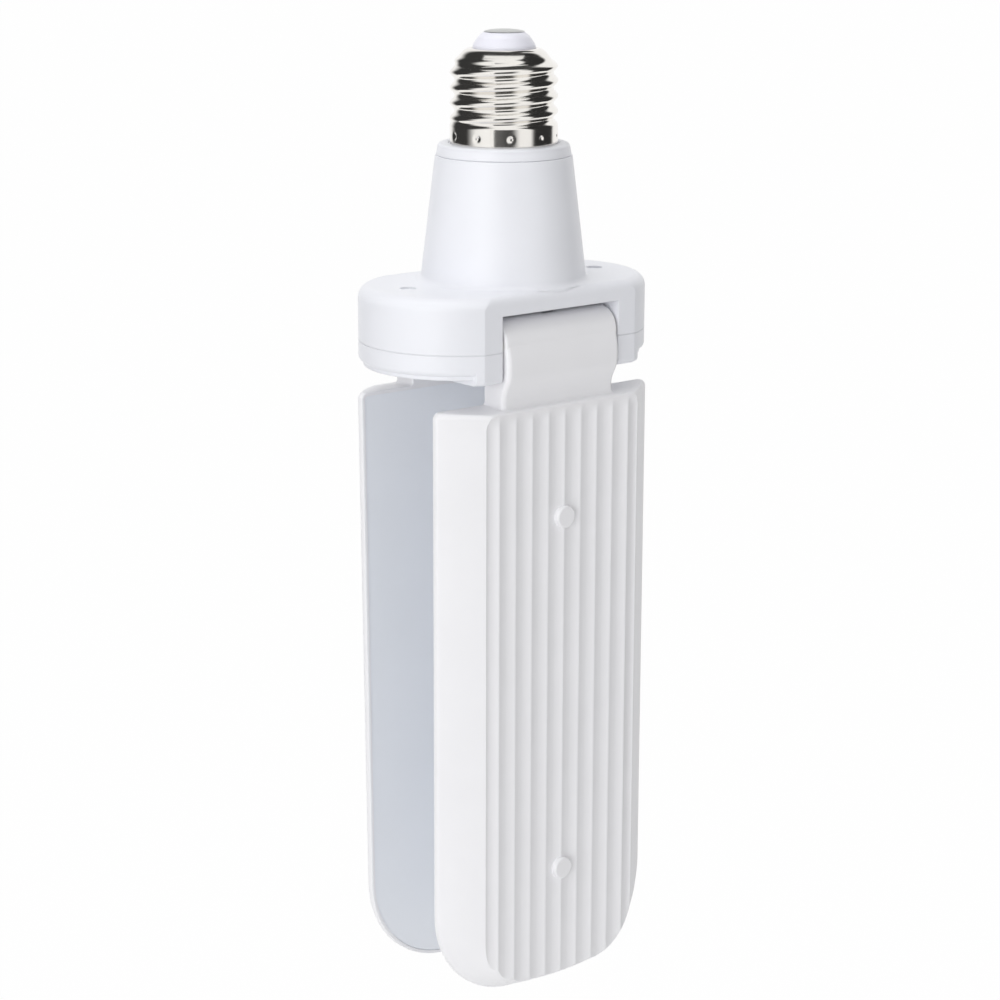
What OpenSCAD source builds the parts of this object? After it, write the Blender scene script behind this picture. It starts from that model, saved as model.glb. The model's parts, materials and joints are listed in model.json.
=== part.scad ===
// Two-leaf folding ceiling light with a screw base.
// Millimetres. Z is up, X runs along the hinge axes, the front leaf hangs at -Y.
// The origin is on the lamp's axis, at the lower edge of the screw shell.

/* [Screw base] */
// Largest diameter of the screw shell, over its thread and its skirt
cap_d = 26.1; // [25:0.05:27.2]
// Distance from one thread crest to the next
thread_pitch = 3.63; // [3.2:0.01:4]
// Number of thread crests
thread_turns = 4; // [3:1:4]
// Depth of the rolled thread
thread_depth = 1.15; // [0.6:0.05:1.2]
// Thickness of the shell's sheet metal
cap_wall = 0.5; // [0.3:0.05:0.7]
// Height of the plain skirt below the thread
skirt_h = 5; // [4:0.1:6.5]
// Height of the shell's dome above the thread
dome_h = 3; // [2.6:0.1:4.2]
// Diameter of the hole in the dome, which the insulator fills
dome_hole_d = 15.4; // [13:0.1:16]
// Height of the insulator's nose above the dome
nose_h = 3.8; // [2.6:0.1:4.4]
// Diameter of the end contact
contact_d = 9.8; // [8.5:0.1:10.5]
// Rise of the end contact's middle above its edge
contact_rise = 0.5; // [0.3:0.1:0.8]
// Thickness of the end contact at its edge
contact_edge = 0.15; // [0.1:0.05:0.4]

/* [Collar and cone] */
// Diameter of the collar ring under the shell
collar_d = 32.8; // [31:0.1:33]
// Height of the collar ring
collar_h = 2.85; // [2.4:0.05:4]
// Diameter of the cone's upper rim
cone_top_d = 33.2; // [32.2:0.1:34.5]
// Diameter that the cone reaches at the head's top plate
cone_base_d = 40.4; // [38:0.1:41.4]
// Height of the cone above the head's top plate
cone_h = 30; // [27:0.5:38]
// Radius of the fillet between the cone and the top plate
cone_fillet = 1.6; // [1:0.1:3]
// Wall of the housing and its cover
housing_wall = 1.8; // [1.4:0.1:2.2]

/* [Head] */
// Length of the oval head along X
head_l = 76.5; // [74:0.5:82]
// Width of the head between its two flats
head_w = 44; // [43:0.5:47]
// Radius of the head's round ends
head_end_r = 23.8; // [23.5:0.1:27]
// Height of the upper housing from its seam to its top plate
upper_h = 13.2; // [12.6:0.1:14.4]
// Height of the lower cover from the seam to its rim
cover_h = 5; // [4.6:0.1:6]
// Radius of the rounding along the top edge of the head's round ends
end_round = 3; // [1.5:0.1:3.4]
// Radius of the rounding along the top edge of the head's two flats
flat_round = 2; // [1:0.1:3]
// Radius of the rounding along the cover's lower edge
cover_round = 1.3; // [0.8:0.1:1.8]
// Height of the thin plinth under the cover
plinth_h = 1; // [0.6:0.1:1.4]
// Setback of the plinth from the cover's edge
plinth_inset = 1.2; // [0.8:0.1:2]
// Depth of the cheeks that flank each arm, below the cover's rim
cheek_drop = 2.4; // [1.6:0.1:3]
// Open seam between two mouldings
seam_gap = 0.1; // [0.1:0.05:0.3]

/* [Hinge] */
// Distance of each hinge axis from the head's flat
hinge_setback = 5.2; // [4.8:0.1:5.6]
// Depth of the hinge axes below the top plate
hinge_drop = 11.8; // [11.4:0.1:12.4]
// Diameter of the hinge barrel
barrel_d = 11.4; // [10.6:0.1:11.8]
// Length of the hinge barrel, which is the width of the arm
barrel_l = 34.8; // [31:0.1:36]
// Gap between the barrel's end and the housing's ear
barrel_side_gap = 0.7; // [0.6:0.05:0.9]
// Gap between the barrel and the roof of its notch
barrel_roof_gap = 1.45; // [1.2:0.05:1.7]
// Gap between the barrel and the back wall of its notch
barrel_back_gap = 0.6; // [0.5:0.05:0.8]
// Diameter of the hinge pins
pin_d = 4; // [3.2:0.1:4.6]
// Length of the hinge pins inside the barrel
pin_reach = 7; // [5:0.5:9]
// Radial clearance of the pins in the barrel
pin_fit = 0.05; // [0.02:0.01:0.1]
// Thickness of the ears that hold the pins
ear_t = 2.5; // [2:0.1:3]
// Thickness of the friction washers
washer_t = 0.45; // [0.3:0.05:0.5]

/* [Leaf] */
// Width of a leaf at its lens side
leaf_w = 66; // [64:0.2:70]
// Width of a leaf across its ribbed back
leaf_back_w = 47.6; // [44:0.2:50]
// Thickness of a leaf
leaf_t = 9.6; // [9:0.1:11]
// Distance from a hinge axis inwards to the leaf's lens face
lens_setin = 2.8; // [2.2:0.1:3.4]
// Depth of the leaf's upper edge below the hinge axis
leaf_drop = 14.4; // [13.6:0.1:16]
// Length of the lens side, down to the middle of its crowned lower edge
leaf_l = 152.2; // [142:0.2:170]
// Crown of the lower edge
leaf_crown = 0.6; // [0.4:0.1:2]
// Radius of the leaf's lower corners at the lens side
leaf_corner_r = 24; // [16:0.5:26]
// Radius of the leaf's lower corners at the back
back_corner_r = 12.5; // [8:0.5:14]
// Radius of the leaf's upper corners
top_corner_r = 1.6; // [1.2:0.1:5]
// Slope of the upper wall, as a rise from back to lens side
top_slope = 1.4; // [0.8:0.1:2]
// Slope of the lower wall, as a rise from lens side to back
bottom_slope = 4.8; // [4:0.1:8]
// Width of the rim around the lens
rim_w = 0.9; // [0.8:0.1:2.6]
// Thickness of the milky lens
lens_t = 1.4; // [1.2:0.05:2.2]
// Depth of the lens below the rim
lens_recess = 0.15; // [0.05:0.05:0.4]
// Distance from one ridge of the back to the next
rib_pitch = 5.07; // [4.6:0.01:5.2]
// Number of ridges on the back
rib_count = 9; // [7:2:9]
// Depth of the flutes between the ridges
flute_depth = 0.4; // [0.3:0.05:0.8]
// Plain stretch above the flutes
flute_start = 0.6; // [0.4:0.1:3]
// Thickness of the leaf's back, from the board's seat to the ridges
back_t = 2.4; // [2:0.1:2.8]
// Thickness of the arm below its barrel
arm_t = 7.2; // [6.8:0.1:7.6]
// Diameter of the round screw bosses on the back
boss_d = 5.6; // [5.2:0.1:7]
// Height of the round screw bosses above the ridges
boss_h = 1; // [0.4:0.1:1.2]
// Distance between the two screw bosses
boss_span = 90.6; // [70:0.2:100]
// Height of the bosses' middle above the middle of the leaf
boss_shift = 1.6; // [0:0.1:3]
// Angle by which the rear leaf hangs inwards of plumb
rear_lean = 1.1; // [0:0.1:1.5]

/* [Light and driver] */
// Thickness of the light boards
light_board_t = 1.2; // [0.8:0.1:1.6]
// Thickness of the driver board
driver_board_t = 1.6; // [1:0.1:1.8]
// Columns of light chips on a leaf
chip_columns = 4; // [2:2:4]
// Rows of light chips on a leaf
chip_rows = 12; // [8:1:14]
// Margin between the outer light chips and the board's edges
chip_margin = 6; // [4.5:0.5:7]
// Width of the driver board
driver_w = 24; // [23:0.5:25]
// Height of the driver board
driver_h = 40; // [38:0.5:41]
// Diameter of the smoothing capacitor
capacitor_d = 9; // [7:0.5:10]
// Length of the smoothing capacitor
capacitor_l = 13; // [9:0.5:14]
// Outer diameter of the insulated leads
lead_d = 1.2; // [0.9:0.1:1.3]
// Diameter of the housing screws
screw_d = 2.2; // [2:0.1:2.4]
// Distance of the housing screws from the lamp's axis
screw_x = 27.8; // [26.5:0.1:29]
// Offset of the housing screws across the head, opposite at the two ends
screw_y = 1.8; // [0:0.1:3]

/* [Hidden] */
$fn = 64;
// Overrun of a cut past the surface that it opens
cut = 1;
// Thickness of the slices that a tapered form is drawn between
slice = 0.02;
// Steps of a leaf's round lower corner, upper corner and crown
corner_steps = 14;
top_corner_steps = 6;
crown_steps = 6;
// Assembly clearance between two fixed pieces
fit = 0.1;

// Screw base
cap_r = cap_d / 2;
root_r = cap_r - thread_depth;
thread_z0 = skirt_h;
thread_z1 = thread_z0 + thread_turns * thread_pitch;
dome_z = thread_z1 + dome_h;
dome_hole_r = dome_hole_d / 2;
// Radius where the dome leaves the thread
shoulder_r = root_r;
thread_steps = 10;
nose_top_z = dome_z + nose_h;
contact_r = contact_d / 2;
insulator_flange = 1.5;
insulator_flange_t = 1.2;
rivet_r = 1.5;
rivet_head_r = 2.4;
rivet_head_t = 1;
rivet_gap = 0.6;
rivet_z = dome_z - cap_wall - insulator_flange_t - rivet_gap;
crimp_count = 10;
crimp_r = 0.8;
crimp_depth = 0.3;
crimp_z = 1.9;

// Collar
collar_r = collar_d / 2;
collar_round = 0.9;
neck_gap = 0.2;
neck_r = root_r - cap_wall - neck_gap;
neck_wall = 1.9;
// Seat that the shell's skirt is pressed over
seat_r = cap_r - cap_wall - fit;
seat_short = 1;
seat_h = skirt_h - seat_short;
neck_top_z = thread_z1 - thread_pitch;
spigot_wall = 1.4;
spigot_l = 5.4;
mouth_wall = 2.2;
mouth_r = cone_top_d / 2 - mouth_wall;
spigot_r = mouth_r - fit;

// Heights of the cone and head
cone_top_z = -collar_h - fit;
plate_z = cone_top_z - cone_h;
seam_z = plate_z - upper_h;
cover_top_z = seam_z - seam_gap;
cover_bottom_z = cover_top_z - cover_h;
plinth_z = cover_bottom_z - plinth_h;
cheek_z = cover_bottom_z - cheek_drop;
floor_z = cover_bottom_z + housing_wall;
head_end_x = head_l / 2 - head_end_r;

// Hinge
hinge_y = head_w / 2 - hinge_setback;
axis_z = plate_z - hinge_drop;
barrel_r = barrel_d / 2;
pin_r = pin_d / 2;
arm_x = barrel_l / 2;
notch_x = arm_x + barrel_side_gap;
roof_z = axis_z + barrel_r + barrel_roof_gap;
notch_back_y = hinge_y - barrel_r - barrel_back_gap;
pocket_wall = 1.6;
ear_y = head_w / 2 - housing_wall - fit;
ear_bottom_z = floor_z + fit;
pin_head_over = 1.2;
pin_head_r = pin_r + pin_head_over;
pin_head_t = 1;
pin_seat = 0.02;
cheek_w = 7.2;
cheek_y = 12;
washer_setback = 1;
washer_r = barrel_r - washer_setback;

// Leaf, seen from its hinge axis: +Y is inwards, the lens faces +Y
lens_y = lens_setin;
back_y = lens_y - leaf_t;
rim_round = 0.5;
rim_straight = 1.45;
ridge_round = 0.6;
least_corner_r = 0.5;
leaf_hw = leaf_w / 2;
back_hw = leaf_back_w / 2;
leaf_top = -leaf_drop;
leaf_foot = leaf_top - leaf_l;
back_top = leaf_top - top_slope;
back_foot = leaf_foot + bottom_slope;
seat_y = lens_y - lens_recess - lens_t;
board_seat_y = back_y + back_t;
cavity_wall = 1.6;
board_y = board_seat_y + light_board_t;
board_gap = 1;
board_margin = cavity_wall + board_gap;
flute_r = (rib_pitch * rib_pitch / 4 + flute_depth * flute_depth) / (2 * flute_depth);
arm_front_y = lens_y - arm_t;
// Bulge of the arm below its barrel: how far it stands out, and its deepest place
arm_bulge = 0.9;
arm_bulge_z = -8.1;
arm_bulge_line = [[0, 0], [0.5, 0.27], [0.85, 0.62], [1, 1]];
arm_taper_z = -12.2;
arm_round = 1.2;
arm_root = 1.8;
boss_mid_z = (leaf_top + leaf_foot) / 2 + boss_shift;
boss_z = [boss_mid_z + boss_span / 2, boss_mid_z - boss_span / 2];
led_screw_r = 1.15;
led_screw_head_r = 2.4;
led_screw_head_t = 1.4;
led_screw_end = 0.6;
chip_w = 2.8;
chip_t = 0.7;
chip_h = 3.5;
chip_x = back_hw - board_margin - chip_margin;
chip_top = back_top - board_margin - chip_margin;
chip_foot = back_foot + leaf_crown + board_margin + chip_margin;

// Leads
lead_r = lead_d / 2;
lead_x = 0.9;
lead_end_gap = 0.5;
lead_free = lead_r + lead_end_gap;
lead_lens_gap = 0.2;
lead_y = seat_y - lead_r - lead_lens_gap;
window_gap = 0.8;
window_x = lead_x + lead_r + window_gap;
channel_gap = 0.15;
channel_r = lead_r + channel_gap;
lead_foot_drop = 4;
lead_foot_z = back_top - board_margin - lead_foot_drop;

// Driver
driver_y = driver_board_t / 2;
driver_z = floor_z + driver_h;
screw_r = screw_d / 2;
screw_head_over = 1.3;
screw_head_r = screw_r + screw_head_over;
screw_head_t = 1.3;
screw_l = 12;
screw_sink = 0.2;
screw_slot_l = 2.6;
screw_slot_w = 0.6;
// Shallow round marks in the top plate, over the screws
mark_r = 1.95;
mark_depth = 0.45;
post_wall = 1.7;
post_r = screw_r + post_wall;
guide_w = 3;
guide_t = 1.4;
guide_h = 3.4;
wire_tail = 4;
wire_y = driver_y + lead_r;
// Driver parts: place across the board, drop below its top edge, and sizes
capacitor_x = -6.5;
capacitor_drop = 7.5;
capacitor_groove_r = 0.7;
capacitor_groove_z = 1.2;
capacitor_rim = 0.8;
capacitor_rim_t = 0.3;
film_x = -11;
film_drop = 5;
film_w = 8;
film_t = 4.5;
film_h = 8;
rectifier_x = 5;
rectifier_drop = 18.6;
rectifier_w = 5;
rectifier_t = 2.4;
rectifier_h = 4.4;
fuse_x = 4;
fuse_drop = 5;
fuse_r = 1.6;
fuse_l = 7;
fuse_lead_r = 0.4;
choke_x = -7;
choke_drop = 31.5;
choke_r = 3.5;
choke_winding_r = 2.8;
choke_flange_t = 1;
// Gap between the choke and the wall of the front notch
choke_gap = 2.1;
choke_winding_l = notch_back_y - pocket_wall - driver_y - choke_gap - 2 * choke_flange_t;
driver_chip_x = 3;
driver_chip_drop = 29;
driver_chip_w = 5;
driver_chip_t = 1.6;
driver_chip_h = 4;
transformer_x = 0.4;
transformer_drop = 9;
transformer_w = 11;
transformer_h = 12.6;
core_leg = 2.2;
core_t = 5.6;
coil_t = 8.4;
neck_wire_gap = 0.8;
neutral_x = neck_r - neck_wall - lead_r - neck_wire_gap;
// Rise of the turn over the neck's rim, and its gap to the shell
turn_rise = 0.4;
turn_gap = 0.3;

// Profile of a round-edged block, from its middle out to radius r
module edge_profile(r, z0, z1, top_r, low_r) {
    translate([0, z0 + low_r]) square([r, z1 - top_r - z0 - low_r]);
    translate([0, z0]) square([r - max(low_r, top_r), z1 - z0]);
    if (top_r > 0) {
        translate([0, z1 - top_r]) square([r - top_r, top_r]);
        translate([r - top_r, z1 - top_r]) circle(r = top_r);
    }
    if (low_r > 0) {
        translate([0, z0]) square([r - low_r, low_r]);
        translate([r - low_r, z0 + low_r]) circle(r = low_r);
    }
}

// Bar along X with the same round-edged profile on both sides
module edge_bar(r, half_l, z0, z1, top_r, low_r) {
    rotate([90, 0, 90]) translate([0, 0, -half_l]) linear_extrude(2 * half_l) {
        edge_profile(r, z0, z1, top_r, low_r);
        mirror([1, 0]) edge_profile(r, z0, z1, top_r, low_r);
    }
}

// The head's oval form: round ends and two flats, drawn in by inset
module oval_block(z0, z1, inset = 0, top_r = 0, flat_r = 0, low_r = 0) {
    r = head_end_r - inset;
    intersection() {
        union() {
            for (s = [-1, 1]) translate([s * head_end_x, 0, 0])
                rotate_extrude() edge_profile(r, z0, z1, top_r, low_r);
            edge_bar(r, head_end_x, z0, z1, top_r, low_r);
        }
        edge_bar(head_w / 2 - inset, head_l, z0, z1, flat_r, low_r);
    }
}

// Cylinder along X that starts at x0
module x_rod(r, x0, l) {
    translate([x0, 0, 0]) rotate([0, 90, 0]) cylinder(r = r, h = l);
}

// Cylinder along Y between two places
module y_rod(r, y0, y1) {
    translate([0, max(y0, y1), 0]) rotate([90, 0, 0]) cylinder(r = r, h = abs(y1 - y0));
}

// Places a leaf's pieces: built at the origin with the hinge axis along X
module at_front() {
    translate([0, -hinge_y, axis_z]) children();
}
module at_rear(lean = 0) {
    rotate([0, 0, 180]) translate([0, -hinge_y, axis_z]) rotate([lean, 0, 0]) children();
}

// ---- Screw base ----

// Radius of the rolled thread at height z
function thread_r(z) = root_r + thread_depth * (1 - cos(360 * (z - thread_z0) / thread_pitch)) / 2;
thread_n = thread_turns * thread_steps;
thread_line = [for (i = [0 : thread_n])
    let (z = thread_z0 + i * thread_pitch / thread_steps) [thread_r(z), z]];
dome_steps = 8;
dome_line = [for (i = [1 : dome_steps])
    let (a = 90 * i / dome_steps)
    [dome_hole_r + (shoulder_r - dome_hole_r) * cos(a), thread_z1 + dome_h * sin(a)]];
skirt_line = [[cap_r, 0], [cap_r, skirt_h - thread_depth / 2], [root_r, skirt_h]];
shell_line = concat(skirt_line, [for (i = [1 : thread_n]) thread_line[i]], dome_line);

module screw_shell() {
    last = len(shell_line) - 1;
    inner = [for (i = [last : -1 : 0])
        i == last ? [dome_hole_r, dome_z - cap_wall] : [shell_line[i][0] - cap_wall, shell_line[i][1]]];
    color("silver") difference() {
        rotate_extrude() polygon(concat(shell_line, inner));
        for (i = [0 : crimp_count - 1]) rotate([0, 0, 360 * (i + 0.5) / crimp_count])
            translate([cap_r + crimp_r - crimp_depth, 0, crimp_z]) sphere(r = crimp_r);
    }
}

// Profile of the insulator's nose: how far out and how far down it has come
nose_line = [[0, 0], [0.15, 0.1], [0.36, 0.22], [0.53, 0.35], [0.66, 0.48], [0.77, 0.61],
    [0.87, 0.75], [0.95, 0.88], [1, 1]];

module base_insulator() {
    top_r = contact_r;
    low_r = dome_hole_r - fit;
    bore_r = rivet_r + fit / 2;
    flange_r = dome_hole_r + insulator_flange;
    flange_top = dome_z - cap_wall - fit;
    flange_low = flange_top - insulator_flange_t;
    color("lavender") rotate_extrude() polygon(concat(
        [[bore_r, flange_low], [bore_r, nose_top_z]],
        [for (p = nose_line) [top_r + (low_r - top_r) * p[0], nose_top_z - nose_h * p[1]]],
        [[low_r, flange_top], [flange_r, flange_top], [flange_r, flange_low]]
    ));
}

// A shallow domed disc on a rivet that holds the insulator
module centre_contact() {
    dome_steps = 5;
    rivet_low = rivet_z - rivet_head_t;
    color("darkgray") rotate_extrude() polygon(concat(
        [for (i = [0 : dome_steps]) let (x = contact_r * i / dome_steps)
            [x, nose_top_z + contact_rise * (1 - x * x / (contact_r * contact_r)) + contact_edge]],
        [[contact_r, nose_top_z], [rivet_r, nose_top_z], [rivet_r, rivet_z],
         [rivet_head_r, rivet_z], [rivet_head_r, rivet_low], [0, rivet_low]]
    ));
}

// ---- Collar, housing and cover ----

module base_collar() {
    color("white") rotate_extrude() difference() {
        union() {
            edge_profile(collar_r, -collar_h, 0, collar_round, 0);
            square([neck_r, neck_top_z]);
            square([seat_r, seat_h]);
            translate([0, -collar_h - spigot_l]) square([spigot_r, spigot_l]);
        }
        translate([-cut, -cut]) square([cut + neck_r - neck_wall, neck_top_z + 2 * cut]);
        translate([-cut, -collar_h - spigot_l - cut])
            square([cut + spigot_r - spigot_wall, spigot_l + cut]);
        translate([-cut, -collar_h - cut]) square([cut + neck_r - neck_wall, collar_h + cut]);
    }
}

// Outer radius of the cone at height z
function cone_r(z) = (cone_top_d + (cone_base_d - cone_top_d) * (cone_top_z - z) / cone_h) / 2;

module cone_outside() {
    rim = 0.15;
    fillet_r = cone_r(plate_z + cone_fillet);
    low_z = plate_z - cut;
    rotate_extrude() polygon([
        [0, low_z], [cone_r(plate_z), low_z], [cone_r(plate_z), plate_z],
        [cone_r(cone_top_z - rim), cone_top_z - rim],
        [cone_r(cone_top_z) - rim, cone_top_z], [0, cone_top_z]
    ]);
    intersection() {
        rotate_extrude() difference() {
            translate([0, low_z]) square([fillet_r + cone_fillet, cut + cone_fillet]);
            translate([fillet_r + cone_fillet, plate_z + cone_fillet]) circle(r = cone_fillet);
        }
        edge_bar(head_w / 2, head_l, seam_z, plate_z + cone_fillet, flat_round + cone_fillet, 0);
    }
}

module cone_inside() {
    mouth_z = cone_top_z - spigot_l - 2 * fit;
    rotate_extrude() polygon([
        [0, plate_z - housing_wall - cut],
        [cone_r(plate_z) - housing_wall, plate_z - housing_wall - cut],
        [cone_r(mouth_z) - housing_wall, mouth_z - 1],
        [mouth_r, mouth_z], [mouth_r, cone_top_z + cut], [0, cone_top_z + cut]
    ]);
}

// The space that a barrel and arm swing in, s is the side
module notch(s, low_z) {
    y0 = s > 0 ? notch_back_y : -head_w;
    translate([-notch_x, y0, low_z]) cube([2 * notch_x, head_w - notch_back_y, roof_z - low_z]);
}

// Roof, back wall and ears round one notch, joined to the flat above the seam
module pocket(s) {
    x = notch_x + ear_t;
    y0 = notch_back_y - pocket_wall;
    joined_y = head_w / 2 - housing_wall / 2;
    roof_top = roof_z + pocket_wall;
    difference() {
        union() {
            translate([-x, s > 0 ? y0 : -ear_y, ear_bottom_z])
                cube([2 * x, ear_y - y0, roof_top - ear_bottom_z]);
            translate([-x, s > 0 ? y0 : -joined_y, seam_z])
                cube([2 * x, joined_y - y0, roof_top - seam_z]);
        }
        notch(s, ear_bottom_z - cut);
        translate([0, s * hinge_y, axis_z]) x_rod(pin_r + pin_seat, -x - cut, 2 * (x + cut));
        translate([-window_x, s > 0 ? y0 - cut : -notch_back_y - cut, axis_z - channel_r])
            cube([2 * window_x, pocket_wall + 2 * cut, 2 * channel_r]);
    }
}

module upper_housing() {
    color("white") difference() {
        union() {
            difference() {
                union() {
                    cone_outside();
                    oval_block(seam_z, plate_z, 0, end_round, flat_round);
                }
                cone_inside();
                oval_block(seam_z - cut, plate_z - housing_wall, housing_wall, cut, cut);
                for (s = [-1, 1]) notch(s, seam_z - cut);
            }
            for (s = [-1, 1]) pocket(s);
            for (s = [-1, 1]) translate([s * screw_x, -s * screw_y, floor_z + fit])
                cylinder(r = post_r, h = plate_z - housing_wall / 2 - floor_z - fit);
        }
        for (s = [-1, 1]) translate([s * screw_x, -s * screw_y, 0]) {
            translate([0, 0, floor_z - cut])
                cylinder(r = screw_r + fit / 2, h = plate_z - housing_wall - floor_z + cut);
            translate([0, 0, plate_z - mark_depth]) cylinder(r = mark_r, h = mark_depth + cut);
        }
    }
}

// One pair of cheeks flanks each arm and reaches below the cover's rim
module cheeks() {
    intersection() {
        oval_block(cheek_z, floor_z, low_r = cover_round);
        for (sx = [-1, 1], sy = [-1, 1])
            translate([sx > 0 ? notch_x : -notch_x - cheek_w, sy > 0 ? cheek_y : -head_w, cheek_z - cut])
                cube([cheek_w, head_w - cheek_y, head_w]);
    }
}

// Slot posts on the floor that the driver board stands between
module board_guides() {
    for (sx = [-1, 1], sy = [-1, 1])
        translate([
            sx * (driver_w / 2 - guide_w) - guide_w / 2,
            sy > 0 ? driver_y + fit : -driver_y - fit - guide_t,
            floor_z - cut / 2
        ]) cube([guide_w, guide_t, guide_h + cut / 2]);
}

module lower_cover() {
    color("white") difference() {
        union() {
            difference() {
                oval_block(cover_bottom_z, cover_top_z, low_r = cover_round);
                oval_block(floor_z, cover_top_z + cut, housing_wall);
            }
            oval_block(plinth_z, floor_z - cut / 2, plinth_inset);
            cheeks();
            board_guides();
        }
        for (s = [-1, 1]) notch(s, cheek_z - cut);
        for (s = [-1, 1]) translate([s * screw_x, -s * screw_y, plinth_z - cut]) {
            cylinder(r = screw_r + fit, h = floor_z - plinth_z + 2 * cut);
            cylinder(r = screw_head_r + fit, h = cut + screw_sink + screw_head_t);
        }
    }
}

module housing_screws() {
    color("gray") for (s = [-1, 1]) translate([s * screw_x, -s * screw_y, plinth_z + screw_sink]) {
        difference() {
            cylinder(r = screw_head_r, h = screw_head_t);
            for (a = [0, 90]) rotate([0, 0, a])
                translate([-screw_slot_l / 2, -screw_slot_w / 2, -cut])
                    cube([screw_slot_l, screw_slot_w, cut + screw_head_t / 2]);
        }
        cylinder(r = screw_r, h = screw_l);
    }
}

// ---- Driver ----

module driver_board() {
    color("seagreen") translate([-driver_w / 2, -driver_y, floor_z])
        cube([driver_w, driver_board_t, driver_h]);
}

module electrolytic_capacitor() {
    r = capacitor_d / 2;
    color("midnightblue") translate([capacitor_x, -driver_y - r, driver_z - capacitor_drop - capacitor_l])
        difference() {
            cylinder(r = r, h = capacitor_l);
            translate([0, 0, capacitor_groove_z]) rotate_extrude()
                translate([r + capacitor_groove_r / 2, 0]) circle(r = capacitor_groove_r);
            translate([0, 0, capacitor_l - capacitor_rim_t]) cylinder(r = r - capacitor_rim, h = cut);
        }
}

module film_capacitor() {
    color("gold") translate([film_x, driver_y, driver_z - film_drop - film_h])
        cube([film_w, film_t, film_h]);
}

module bridge_rectifier() {
    color("dimgray") translate([rectifier_x, driver_y, driver_z - rectifier_drop - rectifier_h])
        cube([rectifier_w, rectifier_t, rectifier_h]);
}

// Its wire runs along the axis and bends down to the board at both ends
module fuse_resistor() {
    leg = 2 * fuse_lead_r;
    reach = leg + fit;
    color("skyblue") translate([fuse_x, driver_y + fuse_r, driver_z - fuse_drop - fuse_l]) {
        cylinder(r = fuse_r, h = fuse_l);
        translate([0, 0, fit - reach]) cylinder(r = fuse_lead_r - fit, h = fuse_l + 2 * (reach - fit));
        for (z = [-reach, fuse_l + fit])
            translate([-leg / 2, -fuse_r, z]) cube([leg, fuse_r + fuse_lead_r, leg]);
    }
}

// The transformer stands on the board's front, its coil round the middle leg
module transformer_frame() {
    low_z = driver_z - transformer_drop - transformer_h;
    translate([transformer_x, -driver_y - (coil_t + core_t) / 2, low_z]) children();
}

module transformer_core() {
    window_w = transformer_w / 2 - 1.5 * core_leg;
    color("darkslategray") transformer_frame() difference() {
        cube([transformer_w, core_t, transformer_h]);
        for (x = [core_leg, transformer_w - core_leg - window_w])
            translate([x, -cut, core_leg]) cube([window_w, core_t + 2 * cut, transformer_h - 2 * core_leg]);
    }
}

module transformer_coil() {
    side = (coil_t - core_t) / 2;
    h = transformer_h - 2 * core_leg - 2 * fit;
    leg_x = (transformer_w - core_leg) / 2;
    inner_w = core_leg + 2 * fit;
    color("khaki") transformer_frame() translate([0, 0, core_leg + fit]) difference() {
        translate([core_leg + fit, -side, 0])
            cube([transformer_w - 2 * core_leg - 2 * fit, coil_t, h]);
        translate([leg_x - fit, -fit, -cut]) cube([inner_w, core_t + 2 * fit, h + 2 * cut]);
    }
}

module choke() {
    far = choke_flange_t + choke_winding_l;
    color("saddlebrown") translate([choke_x, -driver_y, driver_z - choke_drop]) rotate([90, 0, 0]) {
        cylinder(r = choke_winding_r, h = far + choke_flange_t);
        for (z = [0, far]) translate([0, 0, z]) cylinder(r = choke_r, h = choke_flange_t);
    }
}

module driver_chip() {
    low_z = driver_z - driver_chip_drop - driver_chip_h;
    color("black") translate([driver_chip_x, -driver_y - driver_chip_t, low_z])
        cube([driver_chip_w, driver_chip_t, driver_chip_h]);
}

module live_wire() {
    low_z = driver_z - wire_tail;
    color("firebrick") translate([0, wire_y, low_z])
        cylinder(r = lead_r, h = rivet_z - rivet_head_t - low_z);
}

// Rises inside the neck and meets the shell above the neck's rim
module neutral_wire() {
    low_z = driver_z - wire_tail;
    turn_z = neck_top_z + lead_r + turn_rise;
    color("royalblue") {
        translate([neutral_x, wire_y, low_z]) cylinder(r = lead_r, h = turn_z - low_z);
        translate([neutral_x, wire_y, turn_z]) sphere(r = lead_r);
        translate([0, wire_y, turn_z]) x_rod(lead_r, neutral_x, root_r - cap_wall - turn_gap - neutral_x);
    }
}

// ---- Hinge pieces, fixed in the head ----

module hinge_pins() {
    inner_x = arm_x - pin_reach;
    outer_x = notch_x + ear_t;
    color("gray") for (s = [0, 180]) rotate([0, 0, s]) {
        x_rod(pin_r, inner_x, outer_x - inner_x);
        x_rod(pin_head_r, outer_x, pin_head_t);
    }
}

module friction_washers() {
    x0 = arm_x + (barrel_side_gap - washer_t) / 2;
    color("linen") for (s = [0, 180]) rotate([0, 0, s]) difference() {
        x_rod(washer_r, x0, washer_t);
        x_rod(pin_r + pin_seat, x0 - cut, washer_t + 2 * cut);
    }
}

// From the driver board to the middle of the barrel
module supply_leads() {
    color("crimson") for (x = [-lead_x, lead_x]) translate([x, 0, 0])
        y_rod(lead_r, lead_free, hinge_y - driver_y);
}

// ---- Leaf ----

// Points of an arc round [x, y], from angle a0 to a1
function arc(x, y, r, a0, a1, n) = [for (i = [0 : n])
    let (a = a0 + (a1 - a0) * i / n) [x + r * cos(a), y + r * sin(a)]];

// Right half of a leaf's outline: upper corner, lower corner, crowned foot
function leaf_half(hw, top, foot, r, inset) =
    let (
        w = hw - inset,
        t = top - inset,
        low = foot + leaf_crown + inset,
        top_r = max(top_corner_r - inset, least_corner_r),
        low_r = r - inset,
        c = w - low_r
    )
    concat(
        arc(w - top_r, t - top_r, top_r, 90, 0, top_corner_steps),
        arc(c, low + low_r, low_r, 0, -90, corner_steps),
        [for (i = [1 : crown_steps]) let (x = c * (1 - i / crown_steps))
            [x, low - leaf_crown * (1 - x * x / (c * c))]]
    );

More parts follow.
